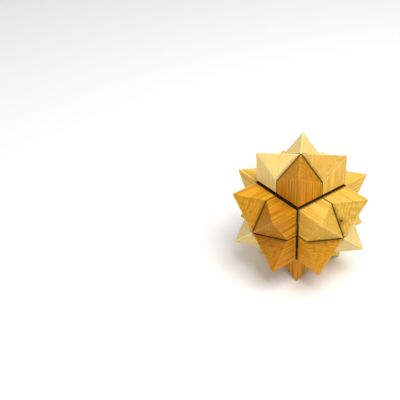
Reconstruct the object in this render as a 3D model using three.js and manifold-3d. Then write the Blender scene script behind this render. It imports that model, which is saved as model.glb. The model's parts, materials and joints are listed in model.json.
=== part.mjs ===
// Twenty-four-point wooden star puzzle.
//
// Square bars run through the middle of the star in three directions, four lines to a direction, so
// each of its six sides shows a two-by-two cluster of bar ends. Each end is cut as a roof with its
// ridge on the diagonal of the bar, from the middle of the cluster to its outer corner.
//
//   upright bars  along Z, with thin square necks that stand together as a column: the core
//   cross bars    along Y, wrapped round the column, so that they can only leave sideways along X
//   keys          along X, a head on a long square tenon that goes through the star
//   caps          along X, the heads at the far ends of the tenons
//   dowels        one in the end of each tenon, a push fit in the cap
//
// Every kind has four equal pieces. The uprights are placed by quarter turns about Z, and the others by
// half turns about X, Y and Z.
// Millimetres, +Z up, -Y to the front. The star stands on the ridges of the four lower upright heads,
// and the origin is on the table under its middle. Its pieces are made round the middle of the star,
// and the group is then lifted.
import * as THREE from 'three';
import { ConvexGeometry } from 'three/addons/geometries/ConvexGeometry.js';
import { mergeVertices } from 'three/addons/utils/BufferGeometryUtils.js';
import Module from 'manifold-3d';

// ---- driving dimensions ----
const BAR_SIDE = 16; // the square stock that all the bars are cut from
const HEAD_HEIGHT = 15.4; // from the underside of a head to its ridge
const UPPER_HEAD_HEIGHT = 16.7; // the same for the uprights' upper heads, which stand taller
const ROOF_DROP = 9.7; // from the ridge down to the two low corners beside it
const RIDGE_LAND = 0.8; // width of the flat left along each ridge
const BAR_GAP = 0.4; // between bars that lie side by side
const SEAM_GAP = 0.7; // between the underside of a key's, cap's or cross bar's head and the core
const LOWER_UPRIGHT_GAP = 0.4; // the same under the core, where the other bars have come to rest
const UPPER_UPRIGHT_GAP = 1.4; // and above it, where the uprights' play along Z has opened up
const NOTCH_CLEARANCE = 0.4; // between the necks, inside
const DOWEL_DIAMETER = 4;
const DOWEL_CLEARANCE = 0.3; // round a dowel and beyond each of its ends
const DOWEL_IN_KEY = 8; // how deep a dowel sits in the tenon
const DOWEL_IN_CAP = 6; // how deep it reaches into the cap
const DOWEL_FACETS = 24;

// ---- worked out from them: distances from the middle of the star ----
const INNER_FACE = BAR_GAP / 2;
const OUTER_FACE = INNER_FACE + BAR_SIDE;
const NOTCH_PLANE = (INNER_FACE + OUTER_FACE) / 2; // bars are notched to half their thickness
const INNER_END = NOTCH_PLANE - NOTCH_CLEARANCE / 2;
const OUTER_START = NOTCH_PLANE + NOTCH_CLEARANCE / 2;
const HEAD_START = OUTER_FACE + SEAM_GAP;
const LOWER_HEAD_START = OUTER_FACE + LOWER_UPRIGHT_GAP;
const UPPER_HEAD_START = OUTER_FACE + UPPER_UPRIGHT_GAP;
const STAND_HEIGHT = LOWER_HEAD_START + HEAD_HEIGHT; // from the table to the middle of the star
const JOIN = 1; // how far a neck runs into its head, so that the two join as one solid

// Ranges across a bar, from the middle of its cluster outwards.
const WHOLE = [INNER_FACE, OUTER_FACE];
const INNER = [INNER_FACE, INNER_END];
const OUTER = [OUTER_START, OUTER_FACE];

const wasm = await Module();
wasm.setup();

// ---- solids ----

/** A three.js geometry as a manifold solid. */
function solidFrom(geometry) {
  geometry.deleteAttribute('normal');
  geometry.deleteAttribute('uv');
  const merged = mergeVertices(geometry, 1e-4);
  return new wasm.Manifold(
    new wasm.Mesh({
      numProp: 3,
      vertProperties: new Float32Array(merged.attributes.position.array),
      triVerts: new Uint32Array(merged.index.array),
    }),
  );
}

/** A manifold solid as a three.js geometry with flat faces. */
function geometryFrom(solid) {
  const mesh = solid.getMesh();
  const geometry = new THREE.BufferGeometry();
  geometry.setAttribute('position', new THREE.BufferAttribute(new Float32Array(mesh.vertProperties), 3));
  geometry.setIndex(new THREE.BufferAttribute(new Uint32Array(mesh.triVerts), 1));
  const faceted = geometry.toNonIndexed();
  faceted.computeVertexNormals();
  return faceted;
}

/** A box over a range of x, of y and of z. */
function block(x, y, z) {
  const geometry = new THREE.BoxGeometry(x[1] - x[0], y[1] - y[0], z[1] - z[0]);
  geometry.translate((x[0] + x[1]) / 2, (y[0] + y[1]) / 2, (z[0] + z[1]) / 2);
  return solidFrom(geometry);
}

/** A round rod over a range of x, with its axis at y, z. */
function rod(diameter, x, y, z) {
  const geometry = new THREE.CylinderGeometry(diameter / 2, diameter / 2, x[1] - x[0], DOWEL_FACETS);
  geometry.rotateZ(Math.PI / 2);
  geometry.translate((x[0] + x[1]) / 2, y, z);
  return solidFrom(geometry);
}

/** The solids joined into one. */
function joined(solids) {
  return solids.reduce((whole, next) => whole.add(next));
}

/**
 * The roofed head of a bar, from its underside at start. p and q run across the bar, from the middle
 * of the cluster outwards, h runs along it from the middle of the star, and toStar turns a (p, q, h)
 * into an (x, y, z).
 */
function head(start, height, toStar) {
  const ridge = start + height;
  const slope = ROOF_DROP / BAR_SIDE;
  const halfLand = (RIDGE_LAND / 2) * Math.SQRT2; // along one side of the bar
  const low = ridge - slope * (BAR_SIDE - halfLand);
  const points = [];
  for (const p of WHOLE) {
    for (const q of WHOLE) {
      points.push([p, q, start]);
      points.push([p, q, p === q ? ridge : low]);
    }
  }
  points.push([INNER_FACE + halfLand, INNER_FACE, ridge], [OUTER_FACE - halfLand, OUTER_FACE, ridge]);
  points.push([INNER_FACE, INNER_FACE + halfLand, ridge], [OUTER_FACE, OUTER_FACE - halfLand, ridge]);
  return solidFrom(new ConvexGeometry(points.map((point) => new THREE.Vector3(...toStar(...point)))));
}

// ---- pieces, each as it sits in the +X +Y +Z eighth of the star ----

/** A bar of the core: two heads on a neck that is a quarter of the bar. */
function uprightBar() {
  return joined([
    head(UPPER_HEAD_START, UPPER_HEAD_HEIGHT, (p, q, h) => [p, q, h]),
    head(LOWER_HEAD_START, HEAD_HEIGHT, (p, q, h) => [p, q, -h]),
    block(INNER, INNER, [-LOWER_HEAD_START - JOIN, UPPER_HEAD_START + JOIN]),
  ]);
}

/** A cross bar, notched round the core column and over the tenons of two keys. */
function crossBar() {
  const rail = block(OUTER, [-HEAD_START - JOIN, HEAD_START + JOIN], OUTER);
  const besideColumn = block(OUTER, [-INNER_END, INNER_END], WHOLE);
  const overTenons = [
    block(WHOLE, [OUTER_START, HEAD_START + JOIN], OUTER),
    block(WHOLE, [-HEAD_START - JOIN, -OUTER_START], OUTER),
  ];
  return joined([
    head(HEAD_START, HEAD_HEIGHT, (p, q, h) => [q, h, p]),
    head(HEAD_START, HEAD_HEIGHT, (p, q, h) => [q, -h, p]),
    rail,
    besideColumn,
    ...overTenons,
  ]);
}

/** Where a dowel's axis lies: the middle of the tenon. */
const DOWEL_Y = (OUTER_START + OUTER_FACE) / 2;
const DOWEL_Z = (INNER_FACE + INNER_END) / 2;
const DOWEL_HOLE = DOWEL_DIAMETER + 2 * DOWEL_CLEARANCE;

/** A key: a head at +X and a tenon that goes right through the star, drilled for the dowel. */
function keyBar() {
  const tenon = block([-OUTER_FACE, HEAD_START + JOIN], OUTER, INNER);
  const holeEnd = -OUTER_FACE + DOWEL_IN_KEY + DOWEL_CLEARANCE;
  const hole = rod(DOWEL_HOLE, [-OUTER_FACE - JOIN, holeEnd], DOWEL_Y, DOWEL_Z);
  return joined([head(HEAD_START, HEAD_HEIGHT, (p, q, h) => [h, p, q]), tenon]).subtract(hole);
}

/** A cap: the head at -X, drilled for the dowel of its key. */
function keyCap() {
  const holeEnd = -HEAD_START - DOWEL_IN_CAP - DOWEL_CLEARANCE;
  const hole = rod(DOWEL_HOLE, [holeEnd, -HEAD_START + JOIN], DOWEL_Y, DOWEL_Z);
  return head(HEAD_START, HEAD_HEIGHT, (p, q, h) => [-h, p, q]).subtract(hole);
}

/** The dowel between a key and its cap. */
function keyDowel() {
  const ends = [-HEAD_START - DOWEL_IN_CAP, -OUTER_FACE + DOWEL_IN_KEY];
  return rod(DOWEL_DIAMETER, ends, DOWEL_Y, DOWEL_Z);
}

// ---- woods: pale hardwood under satin varnish, in the tones of its different bars ----

function wood(color) {
  return new THREE.MeshStandardMaterial({ color, roughness: 0.45, metalness: 0 });
}

const CREAM = wood('#ecd28f');
const STRAW = wood('#e6bb62');
const HONEY = wood('#d99a3c');
const AMBER = wood('#b9772a');

// ---- the star ----

// A half turn about X, Y or Z carries a piece from the back right top to one of its three other places.
const UNTURNED = [0, 0, 0];
const ABOUT_X = [Math.PI, 0, 0];
const ABOUT_Y = [0, Math.PI, 0];
const ABOUT_Z = [0, 0, Math.PI];

const star = new THREE.Group();

/** Adds a piece to the star, turned to its place. */
function place(name, solid, turn, material) {
  const mesh = new THREE.Mesh(geometryFrom(solid), material);
  mesh.name = name;
  mesh.rotation.set(...turn);
  star.add(mesh);
}

// The uprights stay the same way up, so quarter turns about Z carry them round.
place('upright_bar_back_right', uprightBar(), UNTURNED, CREAM);
place('upright_bar_back_left', uprightBar(), [0, 0, Math.PI / 2], CREAM);
place('upright_bar_front_left', uprightBar(), ABOUT_Z, AMBER);
place('upright_bar_front_right', uprightBar(), [0, 0, -Math.PI / 2], STRAW);

place('cross_bar_top_right', crossBar(), UNTURNED, STRAW);
place('cross_bar_bottom_right', crossBar(), ABOUT_X, CREAM);
place('cross_bar_bottom_left', crossBar(), ABOUT_Y, HONEY);
place('cross_bar_top_left', crossBar(), ABOUT_Z, STRAW);

// Each line along X: its place in the star, its turn, and the woods of its key and its cap.
const lines = [
  ['back_top', UNTURNED, CREAM, HONEY],
  ['front_bottom', ABOUT_X, STRAW, HONEY],
  ['back_bottom', ABOUT_Y, STRAW, CREAM],
  ['front_top', ABOUT_Z, HONEY, STRAW],
];
for (const [line, turn, keyWood, capWood] of lines) {
  place(`key_${line}`, keyBar(), turn, keyWood);
  place(`dowel_${line}`, keyDowel(), turn, CREAM);
  place(`cap_${line}`, keyCap(), turn, capWood);
}

const puzzle = new THREE.Group();
star.position.z = STAND_HEIGHT;
puzzle.add(star);

export default puzzle;
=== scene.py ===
"""The wooden star burr puzzle: each bar as its own piece of varnished hardwood, on a pale floor."""

import json
import math

import bmesh
import bpy
import numpy as np
from mathutils import Matrix, Vector, noise


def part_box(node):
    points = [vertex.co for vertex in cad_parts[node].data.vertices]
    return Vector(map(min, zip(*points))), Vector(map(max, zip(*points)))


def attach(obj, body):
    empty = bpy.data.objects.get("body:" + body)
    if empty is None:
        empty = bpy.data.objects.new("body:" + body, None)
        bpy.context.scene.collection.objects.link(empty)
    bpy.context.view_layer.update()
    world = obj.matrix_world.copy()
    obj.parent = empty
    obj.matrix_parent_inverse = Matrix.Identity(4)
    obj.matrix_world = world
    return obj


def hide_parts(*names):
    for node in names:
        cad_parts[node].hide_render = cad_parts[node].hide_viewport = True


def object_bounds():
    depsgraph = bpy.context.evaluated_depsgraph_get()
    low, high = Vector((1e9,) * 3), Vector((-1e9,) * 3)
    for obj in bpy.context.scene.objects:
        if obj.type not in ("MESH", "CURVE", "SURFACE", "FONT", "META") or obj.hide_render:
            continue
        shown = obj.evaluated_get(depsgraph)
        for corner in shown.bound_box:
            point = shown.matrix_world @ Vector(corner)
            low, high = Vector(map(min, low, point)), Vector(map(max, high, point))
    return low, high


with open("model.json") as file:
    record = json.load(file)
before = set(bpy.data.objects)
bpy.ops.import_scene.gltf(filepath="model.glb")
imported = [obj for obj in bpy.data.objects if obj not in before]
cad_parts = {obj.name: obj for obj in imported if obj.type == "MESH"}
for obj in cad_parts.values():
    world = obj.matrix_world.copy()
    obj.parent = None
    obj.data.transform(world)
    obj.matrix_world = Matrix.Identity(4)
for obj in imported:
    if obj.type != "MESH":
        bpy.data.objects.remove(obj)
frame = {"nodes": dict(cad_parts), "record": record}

cad_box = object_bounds()
MM = 0.001

# The middle of the star is halfway between the upper and the lower cross bars.
upper_low, upper_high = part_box("cross_bar_top_right")
_, lower_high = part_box("cross_bar_bottom_right")
STAR_MIDDLE = Vector((0, 0, (upper_low.z + lower_high.z) / 2))
CORE_FACE = upper_high.x  # from the middle to the outer faces of the bars

# ---- the pieces' surfaces, with lengths in millimetres ----
ARRIS = 0.28  # width of the worn corner that replaces each sharp edge
ARRIS_SEGMENTS = 3
GRID = 1.6  # spacing of the cuts that let a surface wander
WANDER = 0.035  # how far a sanded face wanders from flat
WANDER_LENGTH = 7.0
NICK = 0.16  # how deep the worst places on an arris are worn
NICK_LENGTH = 3.2
WEAR_AND_HIGHLIGHT_WIDTH = 0.9  # how far the rubbed colour, partly wear and partly painted highlight, spreads from an arris
WORN_EDGE_ANGLE = math.radians(12)
MERGE_DISTANCE = 0.001  # corners closer than this are the same corner
FLAT_ANGLE = math.radians(1)  # faces that meet at less than this are one flat face
NICK_THRESHOLD = 0.15  # the part of the noise below this leaves the arris alone
NICK_SPAN = 0.6  # how much further the noise reaches in the worst places
UNNICKED_LIGHTENING = 0.35  # the lighter colour, partly wear and partly painted highlight, that even an unnicked arris has
RUB_GAIN = 3  # how quickly a deeper nick brings the full lighter colour of wear and painted highlight
FLATNESS = 80  # weight of the large faces in the shading of the arrises
SEED_STEP = Vector((31.7, 17.3, 7.9))  # moves each piece to its own part of the noise
FACING_FROM, FACING_SPAN = 0.35, 0.3  # how far a face must look inwards to count as hidden
SEAM_SHADE_TONE = 0.22  # how dark the painted shade on the hidden faces is, as a share of its full darkness at the seams' own edges
SEAM_SIGHT = 2.2  # how far in from the core's edges the seams show it, with the painted shade at its darkest
SEAM_FADE = 2.4  # over how far it then gets lighter

# ---- the camera, with distances in metres ----
CAMERA_DISTANCE = 0.319
CAMERA_AZIMUTH = math.radians(-43.0)
CAMERA_ELEVATION = math.radians(36.5)
CAMERA_TURN = math.radians(9.76)  # the star stands right of the middle of the frame
CAMERA_TILT = math.radians(0.59)
CAMERA_ROLL = math.radians(1.57)
CAMERA_LENS = 52.2  # millimetres
CAMERA_CLIP_START = 0.01


# ---- meshes ----


def distance_to_segments(points, segments):
    """The distance from each point to the nearest of the segments."""
    nearest = np.full(len(points), np.inf)
    for start, end in segments:
        along = end - start
        share = np.clip((points - start) @ along / (along @ along), 0, 1)
        gap = np.linalg.norm(points - start - share[:, None] * along, axis=1)
        nearest = np.minimum(nearest, gap)
    return nearest


def sharp_edges(bm):
    return [e for e in bm.edges if len(e.link_faces) == 2 and e.calc_face_angle() > WORN_EDGE_ANGLE]


def cut_into_grid(bm):
    """Cuts a mesh by planes across X, Y and Z, a grid step apart."""
    coordinates = np.array([v.co for v in bm.verts])
    for axis in range(3):
        low, high = coordinates[:, axis].min(), coordinates[:, axis].max()
        cuts = int((high - low) / (GRID * MM))
        for i in range(1, cuts):
            point = Vector((0, 0, 0))
            point[axis] = low + (high - low) * i / cuts
            normal = Vector((0, 0, 0))
            normal[axis] = 1
            everything = bm.verts[:] + bm.edges[:] + bm.faces[:]
            bmesh.ops.bisect_plane(
                bm,
                geom=everything,
                dist=MERGE_DISTANCE * MM,
                plane_co=point,
                plane_no=normal,
            )


def painted_shade_share(vert, close):
    """How much painted shade a point has: the shade that falls into the seams between the pieces, painted
    into the wood.

    It is 1 beside the seams, SEAM_SHADE_TONE on the rest of the hidden faces and 0 outside. close is 1 on
    an arris and 0 away from it.
    """
    from_middle = vert.co - STAR_MIDDLE
    inwards = max(-math.copysign(1, from_middle[axis]) * vert.normal[axis] for axis in range(3))
    facing = min(1.0, max(0.0, (inwards - FACING_FROM) / FACING_SPAN))
    flank = facing * (SEAM_SHADE_TONE + (1 - SEAM_SHADE_TONE) * close)
    distances = sorted(abs(value) for value in from_middle)
    if distances[2] > CORE_FACE + ARRIS * MM:
        return flank
    depth = (CORE_FACE - distances[1]) / MM
    seen = min(1.0, max(0.0, 1 - (depth - SEAM_SIGHT) / SEAM_FADE))
    return max(flank, SEAM_SHADE_TONE + (1 - SEAM_SHADE_TONE) * seen)


def worn_piece(name, node, seed):
    """A node's solid with worn arrises and hand-sanded faces, as a new object."""
    bm = bmesh.new()
    bm.from_mesh(node.data)
    bmesh.ops.remove_doubles(bm, verts=bm.verts, dist=MERGE_DISTANCE * MM)
    bmesh.ops.dissolve_limit(bm, angle_limit=FLAT_ANGLE, verts=bm.verts, edges=bm.edges)
    arrises = sharp_edges(bm)
    segments = [tuple(np.array(v.co) for v in e.verts) for e in arrises]
    bmesh.ops.bevel(
        bm,
        geom=arrises,
        offset=ARRIS * MM,
        offset_type="WIDTH",
        segments=ARRIS_SEGMENTS,
        profile=0.5,
        affect="EDGES",
        clamp_overlap=True,
    )
    cut_into_grid(bm)
    bm.normal_update()
    closeness = 1 - distance_to_segments(np.array([v.co for v in bm.verts]), segments) / (WEAR_AND_HIGHLIGHT_WIDTH * MM)
    closeness = np.clip(closeness, 0, 1)
    offset = seed * SEED_STEP
    wear_and_highlight = bm.verts.layers.float.new("wear_and_highlight")
    seam_shade = bm.verts.layers.float.new("seam_shade")
    moves = []
    for vert, close in zip(bm.verts, closeness):
        place = vert.co / MM
        wander = noise.noise(place / WANDER_LENGTH + offset) * WANDER
        rubbed = max(0.0, noise.noise(place / NICK_LENGTH - offset) - NICK_THRESHOLD) * close
        moves.append(vert.normal * (wander - rubbed * NICK / NICK_SPAN) * MM)
        # lighter arrises: partly real wear, partly a painted highlight where the ridges catch the light
        vert[wear_and_highlight] = close * (UNNICKED_LIGHTENING + (1 - UNNICKED_LIGHTENING) * min(1.0, rubbed * RUB_GAIN))
        # painted shade for the seams between the pieces and the faces hidden inside the star
        vert[seam_shade] = painted_shade_share(vert, close)
    for vert, move in zip(bm.verts, moves):
        vert.co += move
    bmesh.ops.triangulate(bm, faces=[f for f in bm.faces if len(f.verts) > 4])
    mesh = bpy.data.meshes.new(name)
    bm.to_mesh(mesh)
    bm.free()
    mesh.polygons.foreach_set("use_smooth", [True] * len(mesh.polygons))
    piece = bpy.data.objects.new(name, mesh)
    bpy.context.scene.collection.objects.link(piece)
    normals = piece.modifiers.new("flat_faces", "WEIGHTED_NORMAL")
    normals.mode = "FACE_AREA_WITH_ANGLE"
    normals.weight = FLATNESS
    return piece


# ---- the wood ----


class Nodes:
    """Adds nodes to a node tree, each with its inputs set or linked by name or number."""

    def __init__(self, tree):
        self.tree = tree

    def add(self, kind, inputs=None, **settings):
        node = self.tree.nodes.new(kind)
        for key, value in settings.items():
            setattr(node, key, value)
        for key, value in (inputs or {}).items():
            if isinstance(value, bpy.types.NodeSocket):
                self.tree.links.new(value, node.inputs[key])
            else:
                node.inputs[key].default_value = value
        return node

    def math(self, operation, a, b=0.0, clamp=False):
        return self.add("ShaderNodeMath", {0: a, 1: b}, operation=operation, use_clamp=clamp).outputs[0]

    def vector(self, operation, a, b):
        return self.add("ShaderNodeVectorMath", {0: a, 1: b}, operation=operation).outputs[0]

    def noise(self, vector, scale, detail=2.0, roughness=0.5):
        inputs = {"Vector": vector, "Scale": scale, "Detail": detail, "Roughness": roughness}
        return self.add("ShaderNodeTexNoise", inputs).outputs["Fac"]

    def span(self, value, low, high, to_low=0.0, to_high=1.0):
        inputs = {"Value": value, "From Min": low, "From Max": high, "To Min": to_low, "To Max": to_high}
        return self.add("ShaderNodeMapRange", inputs, interpolation_type="SMOOTHSTEP").outputs["Result"]

    def mix(self, share, a, b):
        node = self.add("ShaderNodeMix", data_type="RGBA")
        for socket, value in ((node.inputs[0], share), (node.inputs[6], a), (node.inputs[7], b)):
            if isinstance(value, bpy.types.NodeSocket):
                self.tree.links.new(value, socket)
            else:
                socket.default_value = value
        return node.outputs[2]


PORE_BROWN = (0.10, 0.035, 0.008, 1.0)
KNOT_BROWN = (0.085, 0.030, 0.007, 1.0)
# painted shade: the dark brown for the seams between the pieces and the faces hidden inside the star
SEAM_SHADE_BROWN = (0.020, 0.006, 0.002, 1.0)


def hardwood_group():
    """Solid wood in millimetres, with the grain along Z and the pith along a line beside the bar."""
    tree = bpy.data.node_groups.new("hardwood", "ShaderNodeTree")
    interface = tree.interface
    for name, kind in (
        ("Position", "NodeSocketVector"),
        ("Pith", "NodeSocketVector"),
        ("Ring", "NodeSocketFloat"),
        ("Figure", "NodeSocketFloat"),
        ("Pale", "NodeSocketColor"),
        ("Dark", "NodeSocketColor"),
        ("Blush", "NodeSocketColor"),
        ("Knot", "NodeSocketVector"),
        ("End", "NodeSocketFloat"),
    ):
        interface.new_socket(name, in_out="INPUT", socket_type=kind)
    outputs = (("Color", "NodeSocketColor"), ("Rough", "NodeSocketFloat"), ("Height", "NodeSocketFloat"))
    for name, kind in outputs:
        interface.new_socket(name, in_out="OUTPUT", socket_type=kind)
    n = Nodes(tree)
    given = n.add("NodeGroupInput").outputs

    # growth rings round the pith, which wanders a little along the bar
    from_pith = n.vector("SUBTRACT", given["Position"], given["Pith"])
    slow = n.vector("MULTIPLY", from_pith, (0.10, 0.10, 0.022))
    bend = n.add("ShaderNodeTexNoise", {"Vector": slow, "Scale": 1.0, "Detail": 1.0}).outputs["Color"]
    bent = n.vector("ADD", from_pith, n.vector("MULTIPLY", bend, (3.0, 3.0, 0.0)))
    flat = n.vector("MULTIPLY", bent, (1.0, 1.0, 0.0))
    radius = n.add("ShaderNodeVectorMath", {0: flat}, operation="LENGTH").outputs["Value"]
    uneven = n.math("MULTIPLY", n.noise(n.vector("MULTIPLY", flat, (0.35, 0.35, 0.0)), 1.0, 1.0), 1.1)
    turns = n.math("ADD", n.math("DIVIDE", radius, given["Ring"]), uneven)
    phase = n.math("FRACT", turns)
    latewood = n.math("MULTIPLY", n.span(phase, 0.25, 0.86), n.span(phase, 1.0, 0.90))
    year_number = n.math("FLOOR", turns)
    year = n.add("ShaderNodeTexWhiteNoise", {"W": year_number}, noise_dimensions="1D").outputs["Value"]
    rings = n.math("MULTIPLY", latewood, n.span(year, 0.0, 1.0, 0.45, 1.0))

    # fibres and pores, long in the grain
    broad = n.noise(n.vector("MULTIPLY", given["Position"], (0.55, 0.55, 0.030)), 1.0, 3.0)
    fibre = n.noise(n.vector("MULTIPLY", given["Position"], (2.6, 2.6, 0.13)), 1.0, 2.0, 0.6)
    pore = n.noise(n.vector("MULTIPLY", given["Position"], (5.2, 5.2, 0.55)), 1.0, 1.0)
    pores = n.span(pore, 0.60, 0.72)

    # a knot: a dark eye with its own rings, drawn out along the grain
    aside_knot = n.vector("SUBTRACT", given["Position"], given["Knot"])
    from_knot = n.vector("MULTIPLY", aside_knot, (1.0, 1.0, 0.55))
    knot_radius = n.add("ShaderNodeVectorMath", {0: from_knot}, operation="LENGTH").outputs["Value"]
    knot = n.math("ADD", n.span(knot_radius, 0.95, 0.35), n.span(knot_radius, 3.4, 0.7, 0.0, 0.45))

    # colour: rings and streaks, clouds, end grain, pores and knot, then lighter arrises, partly wear and
    # partly painted highlight, and painted shade in the seams
    figure = n.math("MULTIPLY", rings, given["Figure"])
    streaks = n.span(broad, 0.42, 0.66, 0.0, 0.85)
    shade = n.math("ADD", figure, n.math("MULTIPLY", streaks, given["Figure"]), clamp=True)
    wood = n.mix(shade, given["Pale"], given["Dark"])
    cloud = n.noise(n.vector("MULTIPLY", given["Position"], (0.11, 0.11, 0.05)), 1.0, 1.0)
    wood = n.mix(n.span(cloud, 0.42, 0.68, 0.0, 0.55), wood, given["Blush"])
    wood = n.mix(n.span(fibre, 0.35, 0.70, 0.0, 0.30), wood, given["Dark"])
    wood = n.mix(n.span(given["End"], 0.4, 0.8, 0.0, 0.34), wood, given["Dark"])
    pore_colour = n.mix(0.5, given["Dark"], PORE_BROWN)
    wood = n.mix(n.math("MULTIPLY", pores, 0.45), wood, pore_colour)
    wood = n.mix(n.math("MINIMUM", knot, 0.92), wood, KNOT_BROWN)
    # lighter arrises: partly rubbed wear, partly a painted highlight where the ridges catch the light
    wear_and_highlight = n.add("ShaderNodeAttribute", attribute_name="wear_and_highlight").outputs["Fac"]
    wood = n.mix(n.math("MULTIPLY", wear_and_highlight, 0.55), wood, given["Pale"])
    # painted shade: dark brown where the seams between the pieces and the hidden faces fall into shade
    seam_shade = n.add("ShaderNodeAttribute", attribute_name="seam_shade").outputs["Fac"]
    wood = n.mix(n.math("MULTIPLY", seam_shade, 0.96), wood, SEAM_SHADE_BROWN)

    satin = n.math("ADD", n.span(fibre, 0.3, 0.7, 0.36, 0.50), n.math("MULTIPLY", wear_and_highlight, 0.10))
    rough = n.math("MAXIMUM", satin, n.math("MULTIPLY", seam_shade, 0.95))
    sunken = n.math("ADD", n.math("MULTIPLY", pores, 0.9), n.math("MULTIPLY", fibre, 0.5))
    height = n.math("SUBTRACT", n.math("MULTIPLY", rings, 0.35), sunken)
    n.add("NodeGroupOutput", {"Color": wood, "Rough": rough, "Height": height})
    return tree


HARDWOOD = hardwood_group()
NO_KNOT = (500.0, 500.0, 500.0)  # far outside the star
KNOT = (39.8, 1.6, -28.2)  # in cross_bar_top_right's front head, across the bar twice and then along it

# Each wood: pale, dark and the blush that clouds it, as linear colours.
CREAM = ((0.94, 0.77, 0.33), (0.76, 0.52, 0.13), (0.90, 0.62, 0.17))
STRAW = ((0.92, 0.63, 0.13), (0.60, 0.32, 0.030), (0.85, 0.46, 0.055))
HONEY = ((0.87, 0.44, 0.022), (0.48, 0.19, 0.006), (0.78, 0.29, 0.010))
AMBER = ((0.76, 0.35, 0.013), (0.38, 0.14, 0.004), (0.66, 0.22, 0.008))
RUSSET = ((0.72, 0.33, 0.012), (0.36, 0.13, 0.004), (0.62, 0.20, 0.006))
GRAIN = {"x": "yzx", "y": "zxy", "z": "xyz"}  # the axes across a bar and then along it, by its grain
BUMP_STRENGTH = 0.35
BUMP_DEPTH = 0.06  # millimetres
SPECULAR = 0.12
VARNISH = 0.06
VARNISH_ROUGHNESS = 0.28


def wood_material(name, tone, grain, pith, ring, figure, knot=NO_KNOT):
    """One bar's wood. pith and knot are in millimetres across and along the bar."""
    material = bpy.data.materials.new(name)
    material.use_nodes = True
    n = Nodes(material.node_tree)
    shader = material.node_tree.nodes["Principled BSDF"]
    here = n.add("ShaderNodeTexCoord").outputs
    parts = n.add("ShaderNodeSeparateXYZ", {0: here["Object"]}).outputs
    order = ["xyz".index(letter) for letter in GRAIN[grain]]
    turned = n.add("ShaderNodeCombineXYZ", {i: parts[order[i]] for i in range(3)}).outputs[0]
    facing = n.add("ShaderNodeSeparateXYZ", {0: here["Normal"]}).outputs
    end_grain = n.math("ABSOLUTE", facing["xyz".index(grain)])
    position = n.vector("MULTIPLY", turned, (1 / MM, 1 / MM, 1 / MM))
    pale, dark, blush = (colour + (1.0,) for colour in tone)
    group = n.add("ShaderNodeGroup", node_tree=HARDWOOD)
    n.tree.links.new(position, group.inputs["Position"])
    n.tree.links.new(end_grain, group.inputs["End"])
    for key, value in (
        ("Pith", pith + (0.0,)),
        ("Ring", ring),
        ("Figure", figure),
        ("Pale", pale),
        ("Dark", dark),
        ("Blush", blush),
        ("Knot", knot),
    ):
        group.inputs[key].default_value = value
    bump_inputs = {
        "Height": group.outputs["Height"],
        "Strength": BUMP_STRENGTH,
        "Distance": BUMP_DEPTH * MM,
    }
    bump = n.add("ShaderNodeBump", bump_inputs)
    n.tree.links.new(group.outputs["Color"], shader.inputs["Base Color"])
    n.tree.links.new(group.outputs["Rough"], shader.inputs["Roughness"])
    n.tree.links.new(bump.outputs["Normal"], shader.inputs["Normal"])
    shader.inputs["Specular IOR Level"].default_value = SPECULAR
    shader.inputs["Coat Weight"].default_value = VARNISH
    shader.inputs["Coat Roughness"].default_value = VARNISH_ROUGHNESS
    return material


# Each piece: its tone, the axis of its grain, its pith, the width of a year's ring, how strong its
# figure is, and where its knot is, if it has one.
WOODS = {
    "upright_bar_front_left": (AMBER, "z", (-30.0, 2.0), 1.20, 0.87),
    "upright_bar_front_right": (STRAW, "z", (34.0, -30.0), 1.04, 0.65),
    "upright_bar_back_left": (CREAM, "z", (-44.0, 30.0), 1.36, 0.43),
    "upright_bar_back_right": (CREAM, "z", (40.0, 36.0), 1.20, 0.43),
    "cross_bar_top_left": (STRAW, "y", (40.0, -36.0), 1.12, 0.80),
    "cross_bar_top_right": (STRAW, "y", (30.0, 42.0), 1.28, 0.87, KNOT),
    "cross_bar_bottom_left": (HONEY, "y", (-34.0, -30.0), 1.20, 0.72),
    "cross_bar_bottom_right": (CREAM, "y", (-40.0, 44.0), 1.44, 0.43),
    "key_front_top": (RUSSET, "x", (-34.0, 34.0), 1.20, 0.87),
    "cap_front_top": (STRAW, "x", (-20.0, 40.0), 1.28, 0.65),
    "key_back_top": (CREAM, "x", (38.0, 30.0), 1.20, 0.51),
    "cap_back_top": (HONEY, "x", (30.0, 46.0), 1.44, 0.58),
    "key_front_bottom": (STRAW, "x", (-38.0, -34.0), 1.20, 0.65),
    "cap_front_bottom": (RUSSET, "x", (-44.0, -28.0), 1.28, 0.80),
    "key_back_bottom": (CREAM, "x", (34.0, -40.0), 1.36, 0.51),
    "cap_back_bottom": (CREAM, "x", (28.0, -36.0), 1.20, 0.51),
    "dowel_back_top": (CREAM, "x", (60.0, 20.0), 0.96, 0.43),
    "dowel_front_bottom": (CREAM, "x", (-60.0, 20.0), 0.96, 0.43),
    "dowel_back_bottom": (CREAM, "x", (60.0, -20.0), 0.96, 0.43),
    "dowel_front_top": (CREAM, "x", (-60.0, -20.0), 0.96, 0.43),
}

body_of = {node: body for body, nodes in frame["record"]["behaviour"]["bodies"].items() for node in nodes}

for seed, (node, wood) in enumerate(WOODS.items()):
    piece = worn_piece(node + "_wood", frame["nodes"][node], seed)
    piece.data.materials.append(wood_material(node + "_wood", *wood))
    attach(piece, body_of[node])
    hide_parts(node)


# ---- floor, light and camera, in metres ----

FLOOR_HALF = 4.0  # half the floor's width
FLOOR_WHITE = (0.90, 0.90, 0.90)
FLOOR_ROUGHNESS = 0.9
WORLD_STRENGTH = 0.62
KEY_LIGHT_PLACE = (0.04, -0.34, 0.92)
KEY_LIGHT_SIZE = 0.60
KEY_LIGHT_ENERGY = 7.5


def plain_material(name, colour, roughness):
    material = bpy.data.materials.new(name)
    material.use_nodes = True
    shader = material.node_tree.nodes["Principled BSDF"]
    shader.inputs["Base Color"].default_value = (*colour, 1.0)
    shader.inputs["Roughness"].default_value = roughness
    return material


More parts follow.
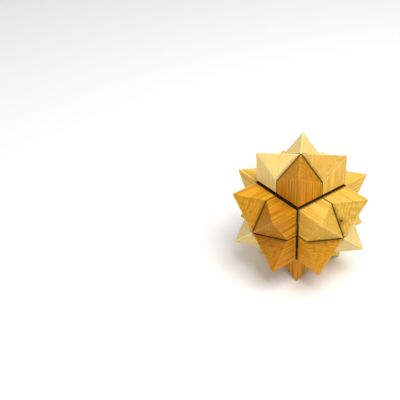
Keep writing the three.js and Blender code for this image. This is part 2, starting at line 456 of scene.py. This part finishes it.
def add_floor():
    low, _ = cad_box
    half = FLOOR_HALF
    mesh = bpy.data.meshes.new("floor")
    corners = [(-half, -half, low.z), (half, -half, low.z), (half, half, low.z), (-half, half, low.z)]
    mesh.from_pydata(corners, [], [(0, 1, 2, 3)])
    mesh.materials.append(plain_material("floor_white", FLOOR_WHITE, FLOOR_ROUGHNESS))
    floor = bpy.data.objects.new("floor", mesh)
    bpy.context.scene.collection.objects.link(floor)


def add_area_light(name, place, size, energy):
    """A square softbox that faces the origin, on the floor under the star."""
    light = bpy.data.lights.new(name, "AREA")
    light.size = size
    light.energy = energy
    lamp = bpy.data.objects.new(name, light)
    lamp.location = place
    lamp.rotation_euler = Vector(place).to_track_quat("Z", "Y").to_euler()
    bpy.context.scene.collection.objects.link(lamp)


def add_world():
    world = bpy.data.worlds.new("studio")
    world.use_nodes = True
    background = world.node_tree.nodes["Background"]
    background.inputs["Color"].default_value = (1.0, 1.0, 1.0, 1.0)
    background.inputs["Strength"].default_value = WORLD_STRENGTH
    bpy.context.scene.world = world


def add_camera():
    back = Vector((
        math.sin(CAMERA_AZIMUTH) * math.cos(CAMERA_ELEVATION),
        -math.cos(CAMERA_AZIMUTH) * math.cos(CAMERA_ELEVATION),
        math.sin(CAMERA_ELEVATION),
    ))
    data = bpy.data.cameras.new("camera")
    data.lens = CAMERA_LENS
    data.clip_start = CAMERA_CLIP_START
    camera = bpy.data.objects.new("camera", data)
    towards_star = (-back).to_track_quat("-Z", "Y").to_matrix().to_4x4()
    aside = Matrix.Rotation(CAMERA_TURN, 4, "Y")
    aside = aside @ Matrix.Rotation(CAMERA_TILT, 4, "X") @ Matrix.Rotation(CAMERA_ROLL, 4, "Z")
    camera.matrix_world = Matrix.Translation(STAR_MIDDLE + back * CAMERA_DISTANCE) @ towards_star @ aside
    bpy.context.scene.collection.objects.link(camera)
    bpy.context.scene.camera = camera


bpy.context.scene.view_settings.view_transform = "Standard"
add_floor()
add_world()
add_area_light("key_light", KEY_LIGHT_PLACE, KEY_LIGHT_SIZE, KEY_LIGHT_ENERGY)
add_camera()
